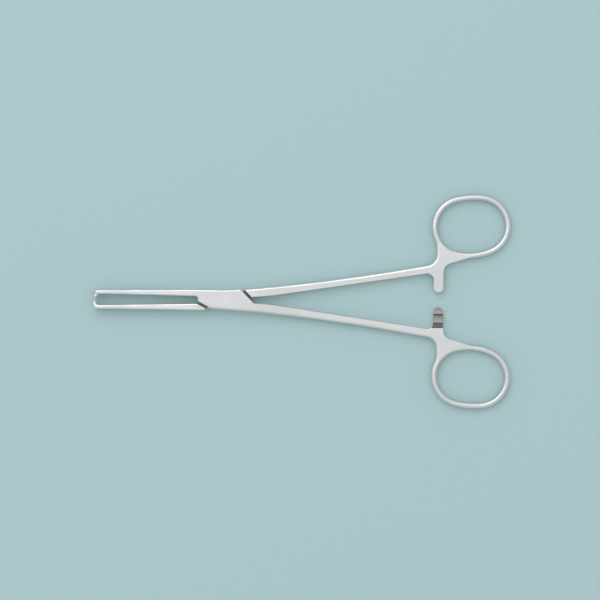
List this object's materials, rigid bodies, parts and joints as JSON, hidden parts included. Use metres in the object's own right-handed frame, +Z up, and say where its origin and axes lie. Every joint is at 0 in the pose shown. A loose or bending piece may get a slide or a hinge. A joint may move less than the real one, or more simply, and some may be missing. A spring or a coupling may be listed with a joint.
{
  "type": "hemostatic forceps",
  "caption": "Slim ring-handled box-lock forceps with a ratchet between the handles and long straight jaws that meet at short, inturned, toothed tips.",
  "frame": {"origin": "on the rivet's axis at the underside of the box lock, where the instrument lies on a table", "axes": "+X runs from the jaws to the finger rings, +Y to the side of the female half's jaw, +Z up out of the flat instrument"},
  "size_m": [0.1543, 0.0792, 0.005],
  "materials": {
    "female_half": "satin, softly worn edges",
    "male_half": "satin, softly worn edges",
    "hinge_pin": "satin, ground flush with the box"
  },
  "bodies": {
    "female_body": {"female_half": "female_half", "hinge_pin": "hinge_pin"},
    "male_body": {"male_half": "male_half"}
  },
  "joints": [
    {"name": "box_lock_hinge", "type": "hinge", "parent": "female_body", "child": "male_body", "pos_m": [0, 0, 0.0025], "axis": [0, 0, 1], "range_deg": [-1.9, 60]}
  ]
}
